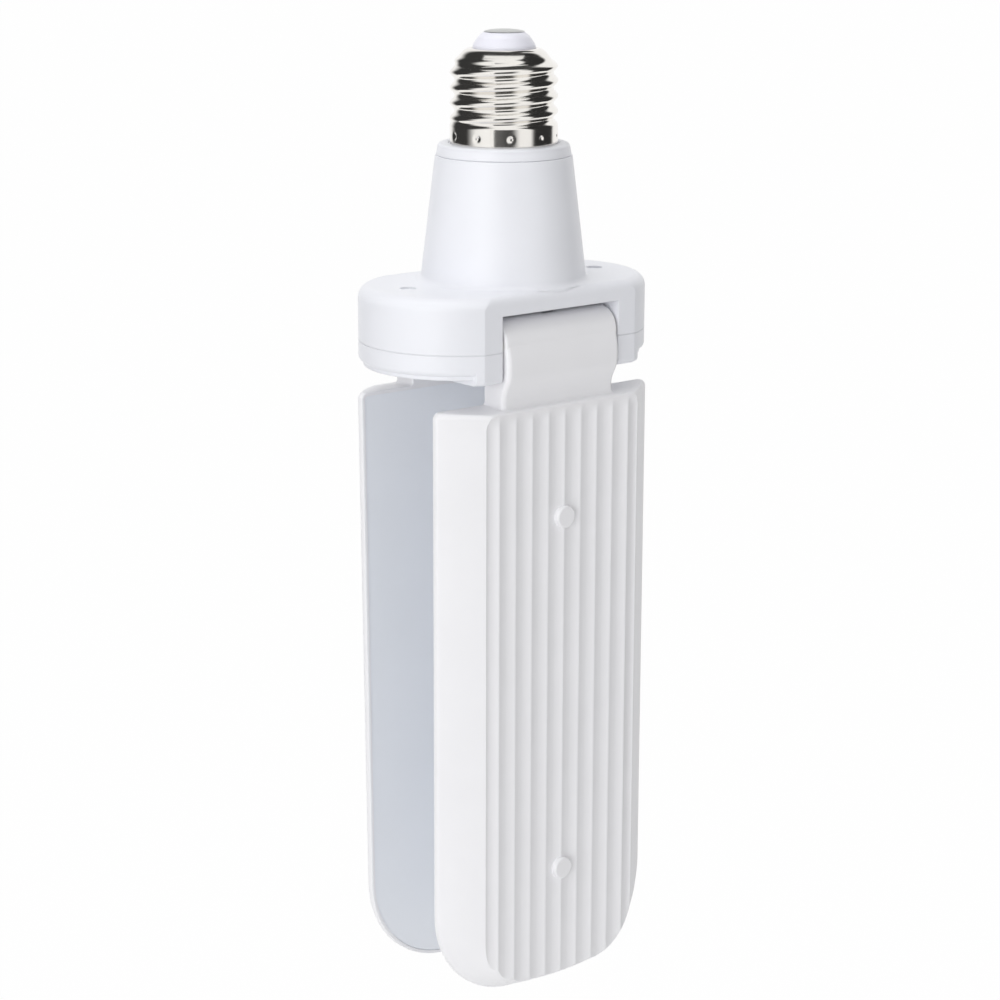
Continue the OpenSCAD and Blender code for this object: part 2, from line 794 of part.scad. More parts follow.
module leaf_outline(half) {
    n = len(half);
    polygon(concat(half, [for (i = [n - 2 : -1 : 0]) [-half[i][0], half[i][1]]]));
}

module lens_outline(inset) {
    leaf_outline(leaf_half(leaf_hw, leaf_top, leaf_foot, leaf_corner_r, inset));
}

module back_outline(inset) {
    leaf_outline(leaf_half(back_hw, back_top, back_foot, back_corner_r, inset));
}

// Plate that starts at y and grows outwards, towards the ribbed back
module outward(y, t) {
    translate([0, y, 0]) rotate([90, 0, 0]) linear_extrude(t) children();
}

module leaf_outside() {
    hull() {
        outward(lens_y, slice) lens_outline(rim_round);
        outward(lens_y - rim_round, rim_straight - rim_round) lens_outline(0);
        outward(back_y + ridge_round, slice) back_outline(-ridge_round);
        outward(back_y + slice, slice) back_outline(0);
    }
}

module leaf_inside() {
    outward(lens_y + cut, lens_y + cut - seat_y) lens_outline(rim_w);
    hull() {
        outward(seat_y + slice, slice) lens_outline(rim_w + cavity_wall);
        outward(board_seat_y + slice, slice) back_outline(cavity_wall);
    }
}

module flutes() {
    first = -(rib_count + 1) / 2;
    y = back_y + flute_depth - flute_r;
    top = back_top - flute_start - rib_pitch / 2;
    for (i = [0 : rib_count]) translate([(first + i + 0.5) * rib_pitch, y, top]) {
        sphere(r = flute_r);
        translate([0, 0, -leaf_l]) cylinder(r = flute_r, h = leaf_l);
    }
}

// Side profile of the arm, y across and z up, round the hinge axis
module arm_profile() {
    low = back_top - arm_root;
    circle(r = barrel_r);
    polygon(concat(
        [[lens_y, low], [lens_y, 0]],
        [for (p = arm_bulge_line) [-barrel_r - arm_bulge * p[0], arm_bulge_z * p[1]]],
        [[arm_front_y, arm_taper_z], [arm_front_y, low]]
    ));
}

module arm() {
    front = barrel_r + arm_bulge;
    intersection() {
        rotate([90, 0, 90]) translate([0, 0, -arm_x]) linear_extrude(2 * arm_x) arm_profile();
        translate([0, 0, -leaf_drop * 2]) linear_extrude(leaf_drop * 3) {
            for (s = [-1, 1])
                translate([s * (arm_x - arm_round), arm_round - front]) circle(r = arm_round);
            translate([-arm_x, arm_round - front]) square([2 * arm_x, 2 * front]);
            translate([arm_round - arm_x, -front]) square([2 * (arm_x - arm_round), 2 * front]);
        }
    }
}

// Ways through the arm and the barrel's inner quarter for the two leads
module lead_ways() {
    low_z = leaf_top - rim_w - cavity_wall - cut;
    slot = channel_r + barrel_r + cut;
    translate([-window_x, lead_y - channel_r, low_z]) cube([2 * window_x, 2 * channel_r, -low_z]);
    translate([-window_x, -channel_r, -channel_r]) cube([2 * window_x, slot, slot]);
}

module leaf_shell() {
    color("whitesmoke") difference() {
        union() {
            difference() {
                leaf_outside();
                flutes();
            }
            for (z = boss_z) translate([0, 0, z]) y_rod(boss_d / 2, back_y - boss_h, board_seat_y);
            arm();
        }
        leaf_inside();
        for (z = boss_z) translate([0, 0, z])
            y_rod(led_screw_r + fit / 2, back_y + led_screw_end - fit, board_seat_y + cut);
        for (s = [0, 180]) rotate([0, 0, s])
            x_rod(pin_r + pin_fit, arm_x - pin_reach - fit, pin_reach + fit + cut);
        lead_ways();
    }
}

module led_board() {
    color("aliceblue") difference() {
        outward(board_y, light_board_t) back_outline(board_margin);
        for (z = boss_z) translate([0, 0, z]) y_rod(led_screw_r + fit, back_y, board_y + cut);
    }
}

module led_chips() {
    color("khaki") for (c = [0 : chip_columns - 1], r = [0 : chip_rows - 1])
        translate([
            chip_x * (2 * c / (chip_columns - 1) - 1) - chip_w / 2,
            board_y,
            chip_top + (chip_foot - chip_top) * r / (chip_rows - 1) - chip_h / 2
        ]) cube([chip_w, chip_t, chip_h]);
}

module diffuser() {
    color([0.78, 0.8, 0.85]) outward(seat_y + lens_t, lens_t) lens_outline(rim_w + fit);
}

module board_screws() {
    color("gray") for (z = boss_z) translate([0, 0, z]) {
        y_rod(led_screw_head_r, board_y, board_y + led_screw_head_t);
        y_rod(led_screw_r, back_y + led_screw_end, board_y);
    }
}

// From the board's upper end, up the arm, to the middle of the barrel
module leaf_leads() {
    color("crimson") for (x = [-lead_x, lead_x]) translate([x, 0, lead_foot_z]) {
        translate([0, lead_y, 0]) cylinder(r = lead_r, h = -lead_free - lead_foot_z);
        translate([0, lead_y, 0]) sphere(r = lead_r);
        y_rod(lead_r, board_y, lead_y);
    }
}

screw_shell();
base_insulator();
centre_contact();
base_collar();
upper_housing();
lower_cover();
housing_screws();
driver_board();
electrolytic_capacitor();
film_capacitor();
bridge_rectifier();
fuse_resistor();
transformer_core();
transformer_coil();
choke();
driver_chip();
live_wire();
neutral_wire();
at_front() hinge_pins();  // front_hinge_pins
at_front() friction_washers();  // front_friction_washers
at_front() supply_leads();  // front_supply_leads
at_front() leaf_shell();  // front_leaf_shell
at_front() led_board();  // front_led_board
at_front() led_chips();  // front_led_chips
at_front() diffuser();  // front_diffuser
at_front() board_screws();  // front_board_screws
at_front() leaf_leads();  // front_leaf_leads
at_rear() hinge_pins();  // rear_hinge_pins
at_rear() friction_washers();  // rear_friction_washers
at_rear() supply_leads();  // rear_supply_leads
at_rear(rear_lean) leaf_shell();  // rear_leaf_shell
at_rear(rear_lean) led_board();  // rear_led_board
at_rear(rear_lean) led_chips();  // rear_led_chips
at_rear(rear_lean) diffuser();  // rear_diffuser
at_rear(rear_lean) board_screws();  // rear_board_screws
at_rear(rear_lean) leaf_leads();  // rear_leaf_leads
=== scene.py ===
# %% [markdown]
# # A folding garage light
# This notebook dresses a lamp with a screw base, a white head and two hinged light leaves. The lamp's
# construction comes in ready made, in metres, as a fixed frame: each of its pieces sits in its true place.
# What is made here is what the eye sees: the rolled thread, the fluted backs of the leaves, the milky
# lenses, and a finish for every surface.

# %% Load the frame
import json
import math

import bmesh
import bpy
from mathutils import Matrix, Vector


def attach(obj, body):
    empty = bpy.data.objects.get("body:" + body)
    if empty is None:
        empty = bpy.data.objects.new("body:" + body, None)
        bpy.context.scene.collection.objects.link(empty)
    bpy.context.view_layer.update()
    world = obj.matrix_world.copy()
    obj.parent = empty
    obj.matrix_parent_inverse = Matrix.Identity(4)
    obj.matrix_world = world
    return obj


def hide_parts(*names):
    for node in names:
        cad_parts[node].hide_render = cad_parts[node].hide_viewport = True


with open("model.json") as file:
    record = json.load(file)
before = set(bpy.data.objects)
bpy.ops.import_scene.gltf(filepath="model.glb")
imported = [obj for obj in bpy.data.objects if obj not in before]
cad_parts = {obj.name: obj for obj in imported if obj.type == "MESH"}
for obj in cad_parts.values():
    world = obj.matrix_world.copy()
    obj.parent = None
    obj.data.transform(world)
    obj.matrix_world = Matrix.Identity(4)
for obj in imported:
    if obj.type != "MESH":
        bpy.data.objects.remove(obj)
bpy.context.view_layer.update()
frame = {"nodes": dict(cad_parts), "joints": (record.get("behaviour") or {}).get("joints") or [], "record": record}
nodes = frame["nodes"]
MM = 0.001
UP = Vector((0, 0, 1))
hinge = {joint["name"]: Vector(joint["pos_m"]) for joint in frame["joints"]}
print("nodes:", len(nodes), "hinges:", {name: tuple(place) for name, place in hinge.items()})

# %% [markdown]
# ## The camera
# The photograph looks down a little on a corner of the lamp, from its left front. A long lens was used, so
# upright edges stay nearly parallel. The camera is set by the point that it looks at, its distance, and
# two angles. The small roll turns the picture by the sixth part of a degree that the photograph leans.

# %% Camera
LENS_MM = 97.6
DISTANCE = 674.5 * MM
AZIMUTH = math.radians(-39.28)
DOWN = math.radians(14.071)
ROLL = math.radians(0.171)
AIM = Vector((-0.49, 0.44, -88.89)) * MM

turn = (
    Matrix.Rotation(AZIMUTH, 4, "Z")
    @ Matrix.Rotation(math.pi / 2 - DOWN, 4, "X")
    @ Matrix.Rotation(ROLL, 4, "Z")
)
camera = bpy.data.objects.new("camera", bpy.data.cameras.new("camera"))
bpy.context.collection.objects.link(camera)
camera.data.sensor_width = 36
camera.data.lens = LENS_MM
camera.matrix_world = Matrix.Translation(AIM) @ turn @ Matrix.Translation((0, 0, DISTANCE))
bpy.context.scene.camera = camera
print("camera at", tuple(round(value, 4) for value in camera.matrix_world.translation))

# %% [markdown]
# ## Helpers for meshes
# A new piece starts as a bmesh. `finish_mesh` turns it into an object that sits at the origin, with its
# place in its mesh, and shades it smooth except across sharp corners.

# %% Mesh helpers
SHARP = math.radians(32)


def new_object(name, bm):
    mesh = bpy.data.meshes.new(name)
    bm.to_mesh(mesh)
    bm.free()
    piece = bpy.data.objects.new(name, mesh)
    bpy.context.collection.objects.link(piece)
    return piece


def finish_mesh(piece, sharp=SHARP):
    piece.data.shade_smooth()
    piece.data.set_sharp_from_angle(angle=sharp)
    print(piece.name, len(piece.data.polygons), "faces")
    return piece


def outward_normals(bm):
    bmesh.ops.remove_doubles(bm, verts=bm.verts, dist=1e-6)
    bmesh.ops.recalc_face_normals(bm, faces=bm.faces)


# %% [markdown]
# A round piece is a closed profile, in millimetres from the lamp's axis, spun through a full turn. The
# spin's ends are merged, so there is no seam.

# %% Spin a profile
SPIN_STEPS = 128
ROUND_STEPS = 3


def spun(profile, steps=SPIN_STEPS, round_over=0.0):
    """A bmesh of the closed profile, given as (radius, height) in millimetres, spun round the axis."""
    bm = bmesh.new()
    ring = [bm.verts.new((radius * MM, 0, height * MM)) for radius, height in profile]
    face = bm.faces.new(ring)
    if round_over:
        bmesh.ops.bevel(
            bm, geom=face.verts[:], offset=round_over * MM, offset_type="OFFSET", segments=ROUND_STEPS,
            profile=0.5, affect="VERTICES", material=-1,
        )
    bmesh.ops.delete(bm, geom=bm.faces[:], context="FACES_ONLY")
    on_axis = [edge for edge in bm.edges if all(vert.co.x < 1e-7 for vert in edge.verts)]
    bmesh.ops.delete(bm, geom=on_axis, context="EDGES")
    bmesh.ops.spin(
        bm, geom=bm.edges[:], axis=UP, cent=(0, 0, 0), angle=math.tau, steps=steps, use_merge=True,
        use_duplicate=False,
    )
    outward_normals(bm)
    return bm


# %% [markdown]
# A few measured points are enough for a soft profile, when a smooth curve is drawn through them. Between
# two points the curve is a cubic, whose slope at each of them is half the step between its neighbours.

# %% Curve through points
def curved(points, steps=4):
    """Points on a smooth curve that passes through all the given ones."""
    padded = [points[0], *points, points[-1]]
    line = []
    for near in zip(padded, padded[1:], padded[2:], padded[3:]):
        for t in (i / steps for i in range(steps)):
            line.append(tuple(cubic(t, *values) for values in zip(*near)))
    return [*line, points[-1]]


def cubic(t, before, start, end, after):
    slope = (end - before) / 2
    square = before - 2.5 * start + 2 * end - after / 2
    cube = (3 * (start - end) + after - before) / 2
    return start + t * slope + t * t * square + t**3 * cube


# %% [markdown]
# ## The screw base
# The cap is thin sheet metal, rolled between dies: its thread is a soft wave that winds up to the right.
# The shell starts as a spun tube with close rows, and then each point moves out by the thread's height
# at its own place round the axis, so that the crests climb by one pitch a turn. The groove fades out
# over the skirt, and the crests fade out on the dome that closes the top. Ten small dimples hold the
# skirt to the collar.

# %% Screw shell
CREST_R = 13.05
THREAD_DEPTH = 1.15
ROOT_R = CREST_R - THREAD_DEPTH
PITCH = 3.63
SHEET = 0.5
SKIRT_TOP = (4.1, 5.9)
CREST_FADE = (18.4, 21.0)
CREST_Z_LEFT = 5.81
LEFT_ANGLE = math.pi + AZIMUTH
DOME = [
    (ROOT_R, 18.2), (11.62, 19.1), (11.28, 19.9), (10.87, 20.6), (10.35, 21.25), (9.7, 21.88), (9.0, 22.3),
    (8.35, 22.5), (7.85, 22.5), (7.72, 22.35),
]
ROW = 0.32
THREAD_STEPS = 288
THREAD_SHARP = math.radians(60)
DIMPLES = 10
DIMPLE_Z = 1.9
DIMPLE_R = 0.62
DIMPLE_DEPTH = 0.42
DIMPLE_ANGLE = math.radians(7.2 - 90) + AZIMUTH


def smooth_step(low, high, value):
    t = min(max((value - low) / (high - low), 0.0), 1.0)
    return t * t * (3 - 2 * t)


def thread_height(z, angle):
    """How far the rolled sheet stands out at a height and an angle round the axis, in millimetres."""
    crest = CREST_Z_LEFT + PITCH * (angle - LEFT_ANGLE) / math.tau
    groove = (1 - math.cos(math.tau * (z - crest) / PITCH)) / 2 * smooth_step(*SKIRT_TOP, z)
    height = THREAD_DEPTH * (1 - groove) * (1 - smooth_step(*CREST_FADE, z))
    for i in range(DIMPLES):
        turned = (angle - DIMPLE_ANGLE - math.tau * i / DIMPLES + math.pi) % math.tau - math.pi
        gap = math.hypot(turned * CREST_R, z - DIMPLE_Z) / DIMPLE_R
        height -= DIMPLE_DEPTH * math.exp(-gap * gap)
    return height


outer = [(ROOT_R, ROW * i) for i in range(int(DOME[0][1] / ROW))] + curved(DOME, 3)
inner = []
for (x0, z0), (x, z), (x1, z1) in zip([outer[0], *outer], outer, [*outer[1:], outer[-1]]):
    out = Vector((z1 - z0, x0 - x1)).normalized() * SHEET
    inner.append((x - out.x, z - out.y))
bm = spun(outer + inner[::-1], steps=THREAD_STEPS)
for vert in bm.verts:
    x, y, z = vert.co / MM
    angle = math.atan2(y, x)
    radius = math.hypot(x, y) + thread_height(z, angle)
    vert.co = Vector((radius * math.cos(angle), radius * math.sin(angle), z)) * MM
screw_shell = finish_mesh(new_object("rolled_screw_shell", bm), THREAD_SHARP)
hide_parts("screw_shell")
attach(screw_shell, "head")

# %% [markdown]
# The insulator is a moulded ring that fills the hole in the dome and rises to the end contact, a shallow
# domed disc. The collar under the shell has a soft upper edge. All three are spun profiles; the corners of
# the insulator and the collar are rounded before the spin.

# %% Insulator, contact and collar
NOSE = [(0.6, 20.75), (9.0, 20.75), (9.0, 21.4), (7.62, 21.5)] + curved([
    (7.62, 22.3), (7.52, 23.0), (7.28, 23.55), (6.98, 24.05), (6.64, 24.55), (6.28, 25.05), (5.85, 25.52),
    (5.35, 25.95), (4.95, 26.24),
]) + [(0.6, 26.28)]
CONTACT = [(0, 19.3), (2.3, 19.3), (2.35, 20.1), (1.45, 20.15), (1.45, 26.29), (4.75, 26.29)] + curved([
    (4.88, 26.36), (4.7, 26.47), (4.0, 26.62), (3.0, 26.77), (2.0, 26.88), (1.0, 26.94), (0, 26.96),
])
COLLAR = [
    (9.35, -2.8), (12.9, -2.8), (12.9, -8.2), (14.3, -8.2), (14.3, -2.94), (16.1, -2.94),
    (16.15, -2.86), (16.38, -2.83), (16.2, -1.9),
    *curved([(16.02, -1.0), (15.93, -0.62), (15.7, -0.3), (15.35, -0.1), (14.9, -0.02)]),
    (13.4, 0.0), (13.32, -0.35), (13.0, -0.35), (12.9, 0.0), (12.45, 0.0), (12.45, 4.0),
    (11.15, 4.2), (11.15, 15.85), (9.35, 15.85),
]
BASE_PIECES = {
    "insulator_nose": (NOSE, 0.12, "base_insulator", "insulator"),
    "domed_contact": (CONTACT, 0.0, "centre_contact", "contact"),
    "collar_ring": (COLLAR, 0.08, "base_collar", "white_plastic"),
}
for name, (profile, round_over, node, slot) in BASE_PIECES.items():
    piece = finish_mesh(new_object(name, spun(profile, round_over=round_over)))
    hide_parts(node)
    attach(piece, "head")

# %% [markdown]
# ## Solids that join and cut
# The remaining pieces are built as a workshop would build them: simple solids are joined, cut away or
# kept in common by exact Boolean modifiers, and each result is settled into the piece's own mesh.

# %% Solid helpers
def settle(piece):
    """Replaces the piece's mesh with what its modifiers make of it."""
    graph = bpy.context.evaluated_depsgraph_get()
    mesh = bpy.data.meshes.new_from_object(piece.evaluated_get(graph), depsgraph=graph)
    old = piece.data
    piece.modifiers.clear()
    piece.data = mesh
    bpy.data.meshes.remove(old)


def combine(piece, operation, *solids):
    """Joins, cuts or keeps the piece with exact Booleans. Each helper solid is used once and removed."""
    for solid in solids:
        tool = new_object("tool", solid)
        step = piece.modifiers.new(operation, "BOOLEAN")
        step.operation = operation
        step.solver = "EXACT"
        step.object = tool
        settle(piece)
        bpy.data.objects.remove(tool)
    return piece


def box_solid(low, high):
    bm = bmesh.new()
    bmesh.ops.create_cube(bm, size=1)
    low, high = Vector(low) * MM, Vector(high) * MM
    bmesh.ops.scale(bm, vec=high - low, verts=bm.verts)
    bmesh.ops.translate(bm, vec=(low + high) / 2, verts=bm.verts)
    return bm


def rod_solid(radius, start, end, steps=48, round_over=0.0):
    """A cylinder from start to end, which may have rounded ends, in millimetres."""
    bm = bmesh.new()
    start, end = Vector(start) * MM, Vector(end) * MM
    length = (end - start).length
    bmesh.ops.create_cone(
        bm, cap_ends=True, segments=steps, radius1=radius * MM, radius2=radius * MM, depth=length
    )
    if round_over:
        rims = [edge for edge in bm.edges if any(len(face.verts) > 4 for face in edge.link_faces)]
        bmesh.ops.bevel(
            bm, geom=rims, offset=round_over * MM, offset_type="OFFSET", segments=5, profile=0.5,
            affect="EDGES", material=-1,
        )
    bmesh.ops.rotate(bm, matrix=UP.rotation_difference(end - start).to_matrix(), verts=bm.verts)
    bmesh.ops.translate(bm, vec=(start + end) / 2, verts=bm.verts)
    return bm


# %% [markdown]
# The two mouldings of the head meet at a fine seam. A thin liner lies a little way inside it, as the lip
# of the real cover does, so that the seam is a shallow line and not a deep dark slot. It is cut away
# where the two arms pass.

# %% Seam liner
SEAM_LOW, SEAM_HIGH = -46.27, -46.13
END_R, END_X, FLAT_Y = 23.8, 14.45, 22.0
LINER_SET, LINER_W = 0.08, 1.2
NOTCH_X, NOTCH_Y = 18.1, 10.5
OVAL_STEPS = 192
FAR = 50  # past the head's outline on every side


def oval(inset, low, high):
    """The head's oval outline as a flat plate, drawn in by the inset."""
    radius, flat = END_R - inset, FLAT_Y - inset
    plate = new_object("oval", box_solid((-END_X, -radius, low), (END_X, radius, high)))
    ends = [rod_solid(radius, (x, 0, low), (x, 0, high), OVAL_STEPS) for x in (-END_X, END_X)]
    combine(plate, "UNION", *ends)
    return combine(plate, "INTERSECT", box_solid((-FAR, -flat, low - 1), (FAR, flat, high + 1)))


liner = oval(LINER_SET, SEAM_LOW, SEAM_HIGH)
hollow = oval(LINER_SET + LINER_W, SEAM_LOW - 1, SEAM_HIGH + 1)
inside = bmesh.new()
inside.from_mesh(hollow.data)
bpy.data.objects.remove(hollow)
combine(
    liner, "DIFFERENCE", inside,
    box_solid((-NOTCH_X, NOTCH_Y, SEAM_LOW - 1), (NOTCH_X, FAR, SEAM_HIGH + 1)),
    box_solid((-NOTCH_X, -FAR, SEAM_LOW - 1), (NOTCH_X, -NOTCH_Y, SEAM_HIGH + 1)),
)
liner.name = "seam_liner"
finish_mesh(liner)
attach(liner, "head")

# %% [markdown]
# ## The leaves
# A leaf is a tray: a straight rim round the lens, walls that slope in to a fluted back, and an arm that
# ends in the hinge barrel. Its outside is lofted through rings of the same outline, from the lens face to
# the back. A ring is a rectangle whose corners are rounded by a vertex bevel, with a slightly crowned
# foot. All sizes are in millimetres from the hinge axis, with y inwards, to the lens side.

# %% Leaf sizes
LENS_Y = 2.8
BACK_Y = -6.8
RIM_END_Y = 1.35
LEAF_TOP = -15.1
LEAF_FOOT = -166.6
LENS_HALF = 33.0
BACK_HALF = 23.8
BACK_TOP = -15.8
BACK_FOOT = -161.8
CROWN = 0.6
TOP_CORNER = 1.6
BACK_TOP_CORNER = 1.3
LENS_CORNER = 24.0
BACK_CORNER = 12.5
ARC_STEPS = 20
TOP_ARC_STEPS = 8
CROWN_CUTS = 11


def ring(bm, y, half, top, foot, corner, top_corner=TOP_CORNER):
    """Adds one outline of a leaf at depth y, and returns its face and its edges."""
    low = foot + CROWN
    verts = bmesh.ops.create_grid(bm, x_segments=1, y_segments=1, size=1)["verts"]
    for vert in verts:
        height = top if vert.co.y > 0 else low
        vert.co = Vector((math.copysign(half, vert.co.x), y, height)) * MM
    face = verts[0].link_faces[0]
    for height, radius, steps in ((top, top_corner, TOP_ARC_STEPS), (low, corner, ARC_STEPS)):
        corners = [vert for vert in face.verts if abs(vert.co.z - height * MM) < 1e-7]
        made = bmesh.ops.bevel(
            bm, geom=corners, offset=radius * MM, offset_type="OFFSET", segments=steps, profile=0.5,
            affect="VERTICES", material=-1,
        )
        face = made["verts"][0].link_faces[0]
    at_foot = {vert for vert in face.verts if abs(vert.co.z - low * MM) < 1e-5}
    foot_edges = [edge for edge in face.edges if at_foot.issuperset(edge.verts)]
    foot_edge = max(foot_edges, key=lambda edge: edge.calc_length())
    half_foot = abs(foot_edge.verts[0].co.x)
    split = bmesh.ops.subdivide_edges(bm, edges=[foot_edge], cuts=CROWN_CUTS)["geom_inner"]
    for vert in (item for item in split if isinstance(item, bmesh.types.BMVert)):
        vert.co.z -= CROWN * MM * (1 - (vert.co.x / half_foot) ** 2)
    return face, face.edges[:]


def lofted(rings):
    """A closed solid through the rings, each given by its depth and outline."""
    bm = bmesh.new()
    made = [ring(bm, *sizes) for sizes in rings]
    for (_, first), (_, second) in zip(made, made[1:]):
        bmesh.ops.bridge_loops(bm, edges=first + second)
    bmesh.ops.delete(bm, geom=[face for face, _ in made[1:-1]], context="FACES_ONLY")
    outward_normals(bm)
    return bm


# %% [markdown]
# The first rings round the rim's edge over and the next two are its straight band. The walls bulge a
# little, so the loft has two more rings between the rim and the back.

# %% Leaf outside
outside = lofted([
    # depth, half width, top, foot, radius at the foot, and at the top where it isn't the usual one
    (LENS_Y, LENS_HALF - 0.45, LEAF_TOP - 0.45, LEAF_FOOT + 0.45, LENS_CORNER - 0.45),
    (LENS_Y - 0.13, LENS_HALF - 0.13, LEAF_TOP - 0.13, LEAF_FOOT + 0.13, LENS_CORNER - 0.13),
    (LENS_Y - 0.45, LENS_HALF, LEAF_TOP, LEAF_FOOT, LENS_CORNER),
    (RIM_END_Y, LENS_HALF, LEAF_TOP, LEAF_FOOT, LENS_CORNER),
    (RIM_END_Y - 0.5, LENS_HALF - 0.25, LEAF_TOP - 0.05, LEAF_FOOT + 0.2, LENS_CORNER - 0.2),
    (-2.4, 29.2, LEAF_TOP - 0.25, LEAF_FOOT + 2.1, 19.6, BACK_TOP_CORNER),
    (-5.6, 24.7, BACK_TOP + 0.2, BACK_FOOT - 1.1, 14.2, BACK_TOP_CORNER),
    (BACK_Y + 0.35, 23.5, BACK_TOP + 0.1, BACK_FOOT - 0.45, 13.0, BACK_TOP_CORNER),
    (BACK_Y, 23.0, BACK_TOP - 0.25, BACK_FOOT, BACK_CORNER, BACK_TOP_CORNER),
])
leaf = new_object("leaf_body", outside)
print("leaf body", len(leaf.data.polygons), "faces")

# %% [markdown]
# The back has nine rounded ridges. The cutter for the flutes between them is a fine sheet that follows
# the wanted surface, pulled outwards into a block. Across a flute the surface is an arc. Near a ridge the
# distance to it is rounded off, which makes the ridge's crest soft. The flutes fade out towards the
# leaf's top, and the two outermost are deeper.

# %% Flutes
RIB_PITCH = 5.07
RIBS = 9
FLUTE_DEPTH = 0.42
EDGE_DEPTH = 0.75
FLUTE_FADE = (0.2, 3.4)
RIDGE_SOFT = 0.14
CUTTER_HALF = RIB_PITCH * (RIBS + 1) / 2
CUTTER_REACH = 4.0
FLUTE_STEPS = 24
FADE_ROW, FADE_ROWS = 0.5, 12


def flute_depth(x, z):
    """Depth of the flutes below the back's plane, in millimetres."""
    half = RIB_PITCH / 2
    deepest = EDGE_DEPTH if abs(x) > RIB_PITCH * (RIBS - 1) / 2 else FLUTE_DEPTH
    arc_r = (half**2 + deepest**2) / (2 * deepest)
    from_ridge = half - abs(x / RIB_PITCH - math.floor(x / RIB_PITCH) - 0.5) * RIB_PITCH
    offset = half - (math.hypot(from_ridge, RIDGE_SOFT) - RIDGE_SOFT)
    depth = deepest - arc_r + math.sqrt(arc_r**2 - offset**2)
    return depth * smooth_step(*FLUTE_FADE, BACK_TOP - z)


columns = FLUTE_STEPS * (RIBS + 1)
fading = [BACK_TOP - FADE_ROW * i for i in range(FADE_ROWS)]
heights = [LEAF_TOP + 1, *fading, BACK_TOP - 30, LEAF_FOOT - 2]
cutter = bmesh.new()
bmesh.ops.create_grid(cutter, x_segments=columns, y_segments=len(heights) - 1, size=1)
for vert in cutter.verts:
    row = round((1 - vert.co.y) / 2 * (len(heights) - 1))
    x, z = vert.co.x * CUTTER_HALF, heights[row]
    vert.co = Vector((x, BACK_Y + flute_depth(x, z), z)) * MM
sheet = cutter.faces[:]
pulled = bmesh.ops.extrude_face_region(cutter, geom=sheet, use_keep_orig=True)["geom"]
for vert in (item for item in pulled if isinstance(item, bmesh.types.BMVert)):
    vert.co.y = (BACK_Y - CUTTER_REACH) * MM
outward_normals(cutter)
print("flute cutter", len(cutter.faces), "faces")

# %% [markdown]
# The arm is lofted through level rings, from the barrel's middle down into the leaf's top, where it
# flares out in a fillet. Its outer face bulges below the barrel. Its lowest rings lean with the slope of
# the leaf's top.

# %% Arm and barrel
BARREL_R = 5.7
ARM_HALF = 17.4
ARM_FRONT = -4.4
ARM_INNER = LENS_Y - 0.02
ARM_ROUND = 1.2
INNER_ROUND = 0.5
ARM_ARC_STEPS = 6
FILLET = 0.8
FILLET_ANGLES = (0, 25, 45, 60, 75, 90)
TOP_SLOPE = (LEAF_TOP - BACK_TOP) / (LENS_Y - BACK_Y)


def arm_ring(bm, z, front, flare, lean):
    """Adds one outline of the arm at height z, widened by the flare, and returns its face and edges."""
    verts = bmesh.ops.create_grid(bm, x_segments=1, y_segments=1, size=1)["verts"]
    for vert in verts:
        y = front - flare if vert.co.y < 0 else ARM_INNER
        vert.co = Vector((math.copysign(ARM_HALF + flare, vert.co.x), y, z)) * MM
    face = verts[0].link_faces[0]
    for side, radius in ((front - flare, ARM_ROUND), (ARM_INNER, INNER_ROUND)):
        corners = [vert for vert in face.verts if abs(vert.co.y - side * MM) < 1e-7]
        made = bmesh.ops.bevel(
            bm, geom=corners, offset=radius * MM, offset_type="OFFSET", segments=ARM_ARC_STEPS,
            profile=0.5, affect="VERTICES", material=-1,
        )
        face = made["verts"][0].link_faces[0]
    for vert in face.verts:
        vert.co.z -= lean * TOP_SLOPE * (LENS_Y * MM - vert.co.y)
    return face, face.edges[:]


arm = bmesh.new()
BULGE = curved([
    (0, -5.7), (-1.2, -6.1), (-3, -6.48), (-5.3, -6.65), (-7.5, -6.5), (-9, -6.05), (-10.3, -5.35),
    (-11.6, -4.72), (-12.8, -4.43), (-13.5, ARM_FRONT),
], 3)
levels = [(z, front, 0, 0) for z, front in BULGE]
for angle in map(math.radians, FILLET_ANGLES):
    rise, flare = FILLET * (1 - math.sin(angle)), FILLET * (1 - math.cos(angle))
    levels.append((LEAF_TOP + rise, ARM_FRONT, flare, math.sin(angle)))
levels.append((LEAF_TOP - 2, ARM_FRONT, FILLET, 1))
made = [arm_ring(arm, *level) for level in levels]
for (_, first), (_, second) in zip(made, made[1:]):
    bmesh.ops.bridge_loops(arm, edges=first + second)
bmesh.ops.delete(arm, geom=[face for face, _ in made[1:-1]], context="FACES_ONLY")
outward_normals(arm)
barrel = rod_solid(BARREL_R, (-ARM_HALF, 0, 0), (ARM_HALF, 0, 0), steps=96, round_over=0.7)
print("arm", len(arm.faces), "barrel", len(barrel.faces), "faces")

# %% [markdown]
# Two low round bosses on the back hold the screws of the light board. Inside, the leaf is hollow: a seat
# for the lens, a deeper space for the light board, bores for the hinge pins and a way for the leads.

# %% Put the leaf together
BOSS_Z = (-43.6, -134.2)
BOSS_R = 2.8
BOSS_TOP = BACK_Y - 1.0
SEAT_Y = 1.25
BOARD_SEAT_Y = -4.4
RIM_W = 0.9
WALL = 1.6
LEAST_CORNER = 0.5
BORE_R = 2.05
BORE_X = 10.3
WINDOW_X = 2.3
CHANNEL_R = 0.75
CHANNEL_FOOT, CHANNEL_TOP = LEAF_TOP - 5, 0.3
PAST = 1.0  # how far a cutter reaches past what it cuts


def inset_ring(y, sizes, inset):
    """A ring for the loft at depth y: the outline of the given sizes, drawn in by the inset."""
    half, top, foot, corner = sizes
    top_corner = max(TOP_CORNER - inset, LEAST_CORNER)
    return (y, half - inset, top - inset, foot + inset, corner - inset, top_corner)


